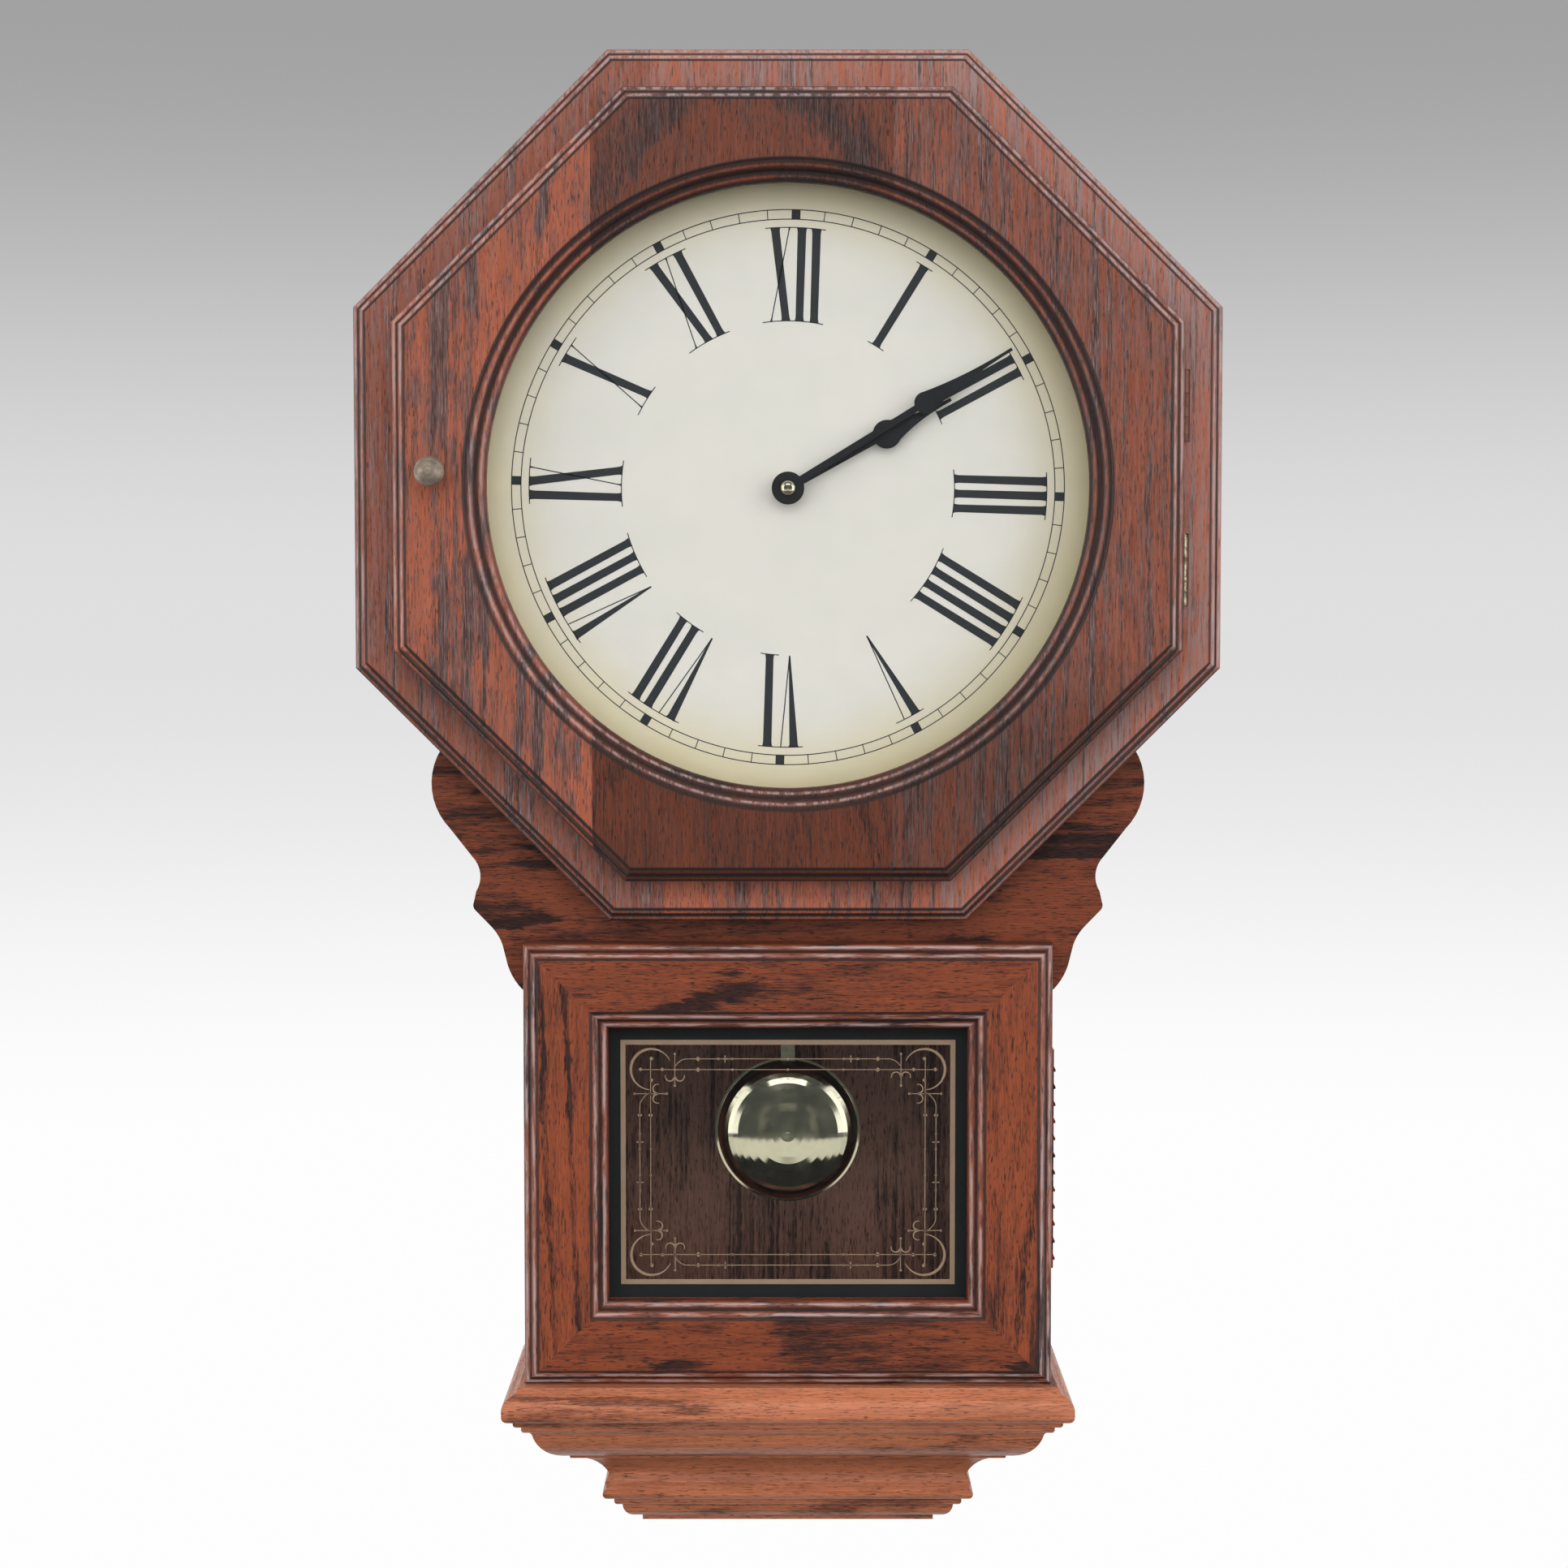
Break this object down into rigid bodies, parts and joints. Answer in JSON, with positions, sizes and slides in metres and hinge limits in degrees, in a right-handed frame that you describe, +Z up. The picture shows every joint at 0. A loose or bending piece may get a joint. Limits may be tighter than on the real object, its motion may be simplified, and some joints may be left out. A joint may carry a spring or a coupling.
{
  "type": "regulator wall clock",
  "caption": "Octagon wall clock: hinged glazed dial door, scrolled ears, mitred window frame over a brass pendulum, moulded stepped base.",
  "frame": {"origin": "centre of the keyhole in the hanger plate, on the wall plane", "axes": "+Z up, front of the clock faces -Y, +Y into the wall, +X to the right seen from the front"},
  "size_m": [0.394, 0.139, 0.687],
  "materials": {
    "oak": "red-brown stain and satin lacquer over open dark grain",
    "base_oak": "lighter orange-brown stain, satin lacquer",
    "back_ply": "dark veneered plywood",
    "fibreboard": "bare fibreboard",
    "dial_enamel": "cream enamel with printed numerals and minute track",
    "clear_glass": "clear",
    "painted_glass": "dark painted border with gilt lines, clear centre",
    "aged_brass": "aged",
    "bright_brass": "polished and lacquered",
    "steel": "plain",
    "ferrite": "matt",
    "hand_black": "black, satin",
    "black_plastic": "moulded",
    "white_plastic": "natural acetal",
    "coil_amber": "enamelled winding in a moulded block",
    "cell_wrap": "plain dark wrap",
    "red_plastic": "moulded",
    "speaker_black": "pressed basket and paper cone"
  },
  "bodies": {
    "case": {"back_panel": "back_ply", "left_side": "oak", "right_side": "oak", "case_top": "oak", "case_bottom": "oak", "ear_board": "oak", "hanger_plate": "bright_brass", "hanger_screws": "bright_brass", "surround_left": "oak", "surround_right": "oak", "surround_top": "oak", "surround_bottom": "oak", "dial_board": "fibreboard", "dial_plate": "dial_enamel", "hinge_leaf_case": "aged_brass", "hinge_pins": "aged_brass", "door_catch": "ferrite", "frame_top_rail": "oak", "frame_bottom_rail": "oak", "frame_left_stile": "oak", "frame_right_stile": "oak", "lower_glass": "painted_glass", "glass_beads": "oak", "base_front": "base_oak", "base_left": "base_oak", "base_right": "base_oak", "corbel_front": "base_oak", "corbel_left": "base_oak", "corbel_right": "base_oak", "corbel_bottom": "base_oak", "movement_front": "black_plastic", "movement_rear": "black_plastic", "bushing_nut": "bright_brass", "motor_block": "coil_amber", "battery_cells": "cell_wrap", "battery_contacts": "steel", "speaker": "speaker_black", "side_grille": "oak"},
    "door": {"door_left_stile": "oak", "door_right_stile": "oak", "door_top_block": "oak", "door_bottom_block": "oak", "dial_glass": "clear_glass", "glazing_ring": "black_plastic", "door_knob": "aged_brass", "knob_screw": "steel", "hinge_leaf_door": "aged_brass", "catch_plate": "steel"},
    "minute": {"minute_arbor": "steel", "minute_hand": "hand_black", "hand_nut": "bright_brass"},
    "hour": {"hour_wheel": "white_plastic", "hour_hand": "hand_black"},
    "motion_wheel": {"minute_wheel": "white_plastic"},
    "third": {"third_wheel": "white_plastic"},
    "setter": {"set_knob": "black_plastic"},
    "switch": {"chime_switch": "red_plastic"},
    "pendulum": {"pendulum_arm": "black_plastic", "pendulum_rod": "bright_brass", "pendulum_bob": "bright_brass"}
  },
  "joints": [
    {"name": "door_open", "type": "hinge", "parent": "case", "child": "door", "pos_m": [0.1789, -0.1054, -0.112], "axis": [0, 0, 1], "range_deg": [0, 98]},
    {"name": "minute_turn", "type": "hinge", "parent": "case", "child": "minute", "pos_m": [0, -0.1, -0.112], "axis": [0, 1, 0], "continuous": true},
    {"name": "hour_turn", "type": "hinge", "parent": "case", "child": "hour", "pos_m": [0, -0.1, -0.112], "axis": [0, 1, 0], "continuous": true},
    {"name": "motion_wheel_turn", "type": "hinge", "parent": "case", "child": "motion_wheel", "pos_m": [0, -0.08, -0.1], "axis": [0, 1, 0], "continuous": true},
    {"name": "third_turn", "type": "hinge", "parent": "case", "child": "third", "pos_m": [-0.01169, -0.075, -0.11875], "axis": [0, 1, 0], "continuous": true},
    {"name": "set_knob_turn", "type": "hinge", "parent": "case", "child": "setter", "pos_m": [-0.01039, -0.06, -0.094], "axis": [0, 1, 0], "continuous": true},
    {"name": "chime_slide", "type": "slide", "parent": "case", "child": "switch", "axis": [1, 0, 0], "range_m": [0, 0.006]},
    {"name": "pendulum_swing", "type": "hinge", "parent": "case", "child": "pendulum", "pos_m": [0, -0.067, -0.15], "axis": [0, 1, 0], "range_deg": [-7, 7]}
  ],
  "couplings": [
    {"joint": "hour_turn", "follows": "minute_turn", "ratio": 0.083333},
    {"joint": "motion_wheel_turn", "follows": "minute_turn", "ratio": -0.33333},
    {"joint": "third_turn", "follows": "minute_turn", "ratio": -8},
    {"joint": "set_knob_turn", "follows": "minute_turn", "ratio": 1}
  ]
}
